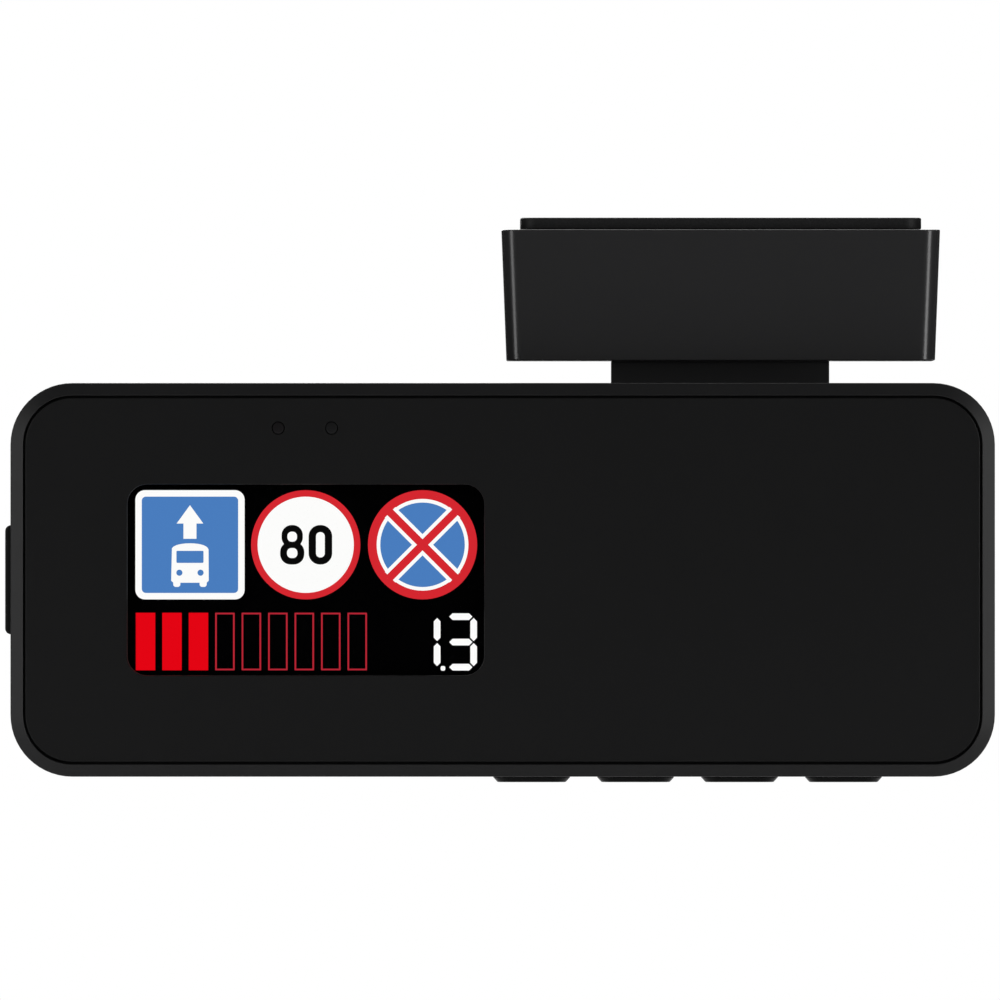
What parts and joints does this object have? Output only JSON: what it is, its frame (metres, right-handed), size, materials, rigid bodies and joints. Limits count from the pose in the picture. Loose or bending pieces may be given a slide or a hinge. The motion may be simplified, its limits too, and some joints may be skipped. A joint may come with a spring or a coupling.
{
  "type": "radar detector",
  "caption": "Shallow wide radar and laser detector with a colour display, keys under it and a tilting windscreen bracket with an adhesive pad.",
  "frame": {"origin": "centre of the adhesive pad's outer face, which sticks to the windscreen", "axes": "+X to the right as the driver sees the unit, +Y towards the windscreen, +Z out of the pad, upwards"},
  "size_m": [0.1187, 0.044, 0.0678],
  "materials": {
    "pad_foam": "black foam, dull",
    "black_plastic": "fine-textured black moulding",
    "face_plastic": "satin black moulding",
    "key_plastic": "satin black moulding",
    "steel": "plated steel",
    "washer_plastic": "natural acetal",
    "circuit_board": "green solder mask on laminate",
    "ceramic": "fired ceramic with a silvered face",
    "cable_black": "black sheath",
    "cable_red": "red wire insulation",
    "display_glass": "liquid crystal cell, black when unlit",
    "lens_black": "clear window with a black border",
    "backlight": "white light guide",
    "ribbon": "amber polyimide",
    "dark_window": "dark infrared filter",
    "light_pipe": "smoked light guide",
    "component_black": "moulded component body",
    "connector": "cream connector body",
    "horn_metal": "die-cast, as cast",
    "laser_filter": "dark red infrared lens",
    "rubber_black": "soft black rubber"
  },
  "bodies": {
    "mount": {"adhesive_pad": "pad_foam", "bracket_plate": "black_plastic", "plate_screws": "steel", "bracket_housing": "black_plastic", "gps_board": "circuit_board", "gps_antenna": "ceramic", "gps_shield": "steel", "gps_board_screws": "steel", "bracket_neck": "black_plastic", "neck_screws": "steel", "upper_cable": "cable_black"},
    "main_unit": {"hinge_pins": "steel", "hinge_washers": "washer_plastic", "lower_cable": "cable_black", "front_frame": "black_plastic", "rear_housing": "black_plastic", "housing_screws": "steel", "face_panel": "face_plastic", "panel_tape": "pad_foam", "display_lens": "lens_black", "display_gasket": "pad_foam", "display_glass": "display_glass", "display_backlight": "backlight", "display_ribbon": "ribbon", "light_sensor": "dark_window", "status_light": "light_pipe", "main_board": "circuit_board", "board_screws": "steel", "processor_shield": "steel", "board_chips": "component_black", "board_connectors": "connector", "backup_cell": "steel", "button_switches": "component_black", "radar_horn": "horn_metal", "horn_gasket": "pad_foam", "rf_board": "circuit_board", "rf_shield": "steel", "rf_header": "component_black", "laser_lens": "laser_filter", "laser_sensor": "circuit_board", "laser_wires": "cable_red", "speaker": "component_black", "speaker_gasket": "pad_foam", "speaker_wires": "cable_red", "power_socket": "component_black", "service_socket": "steel", "port_cover_tail": "rubber_black"},
    "menu_key": {"menu_button": "key_plastic"},
    "minus_key": {"minus_button": "key_plastic"},
    "plus_key": {"plus_button": "key_plastic"},
    "mute_key": {"mute_button": "key_plastic"},
    "side_cover": {"port_cover": "rubber_black"}
  },
  "joints": [
    {"name": "bracket_tilt", "type": "hinge", "parent": "mount", "child": "main_unit", "pos_m": [0, 0, -0.0239], "axis": [1, 0, 0], "range_deg": [0, 80]},
    {"name": "menu_press", "type": "slide", "parent": "main_unit", "child": "menu_key", "axis": [0, 0, 1], "range_m": [0, 0.0004], "stiffness_N_per_m": 400},
    {"name": "minus_press", "type": "slide", "parent": "main_unit", "child": "minus_key", "axis": [0, 0, 1], "range_m": [0, 0.0004], "stiffness_N_per_m": 400},
    {"name": "plus_press", "type": "slide", "parent": "main_unit", "child": "plus_key", "axis": [0, 0, 1], "range_m": [0, 0.0004], "stiffness_N_per_m": 400},
    {"name": "mute_press", "type": "slide", "parent": "main_unit", "child": "mute_key", "axis": [0, 0, 1], "range_m": [0, 0.0004], "stiffness_N_per_m": 400},
    {"name": "side_cover_hinge", "type": "hinge", "parent": "main_unit", "child": "side_cover", "pos_m": [-0.0852, -0.0186, -0.04935], "axis": [0, -1, 0], "range_deg": [0, 110], "stiffness_Nm_per_rad": 0.0005}
  ]
}
